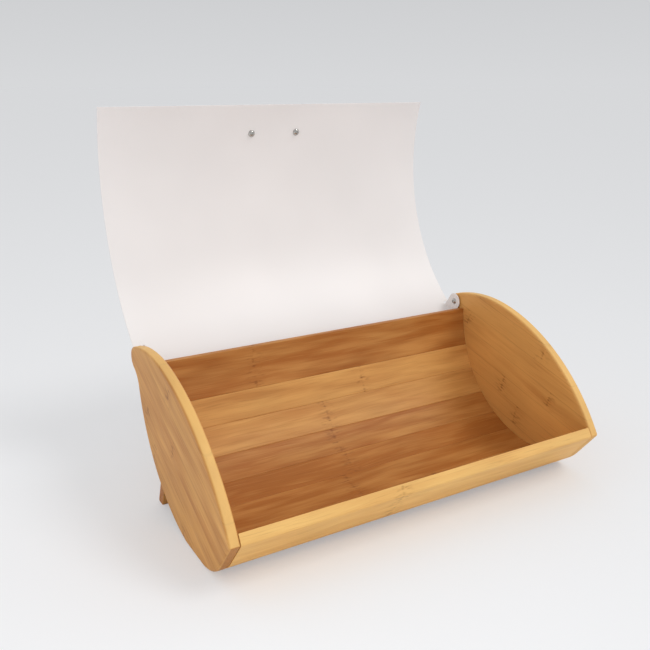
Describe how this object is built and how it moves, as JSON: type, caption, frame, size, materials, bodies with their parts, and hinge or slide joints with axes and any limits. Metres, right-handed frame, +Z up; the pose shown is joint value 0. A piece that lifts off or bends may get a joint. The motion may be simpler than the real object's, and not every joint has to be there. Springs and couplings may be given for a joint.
{
  "type": "bread box",
  "caption": "Bread box of bamboo with curved back and floor between two shaped side panels, and a curved sheet-metal lid that swings up and back on two hinge screws.",
  "frame": {"origin": "on the table surface, in the middle of the overall box of the part with its lid open", "axes": "+X across the box to its right-hand side as seen from the front, +Y to the back where the lid hangs open, +Z up"},
  "size_m": [0.39, 0.3192, 0.3532],
  "materials": {
    "bamboo": "satin",
    "bamboo_stave": "satin",
    "bamboo_dowel": "matte",
    "lid_enamel": "satin",
    "steel": "polished"
  },
  "bodies": {
    "box": {"side_panel_left": "bamboo", "side_panel_right": "bamboo", "stave_1": "bamboo_stave", "stave_2": "bamboo_stave", "stave_3": "bamboo_stave", "stave_4": "bamboo_stave", "stave_5": "bamboo_stave", "stave_6": "bamboo_stave", "stave_7": "bamboo_stave", "stave_8": "bamboo_stave", "front_rail": "bamboo", "rear_foot": "bamboo", "stave_dowels_left": "bamboo_dowel", "stave_dowels_right": "bamboo_dowel", "rail_dowels_left": "bamboo_dowel", "rail_dowels_right": "bamboo_dowel", "hinge_screw_left": "steel", "hinge_screw_right": "steel", "hinge_spacer_left": "steel", "hinge_spacer_right": "steel"},
    "lid": {"lid_sheet": "lid_enamel", "lid_handle": "bamboo", "handle_screws": "steel"}
  },
  "joints": [
    {"name": "lid_hinge", "type": "hinge", "parent": "box", "child": "lid", "pos_m": [0, 0.05149, 0.1335], "axis": [1, 0, 0], "range_deg": [0, 134]}
  ]
}
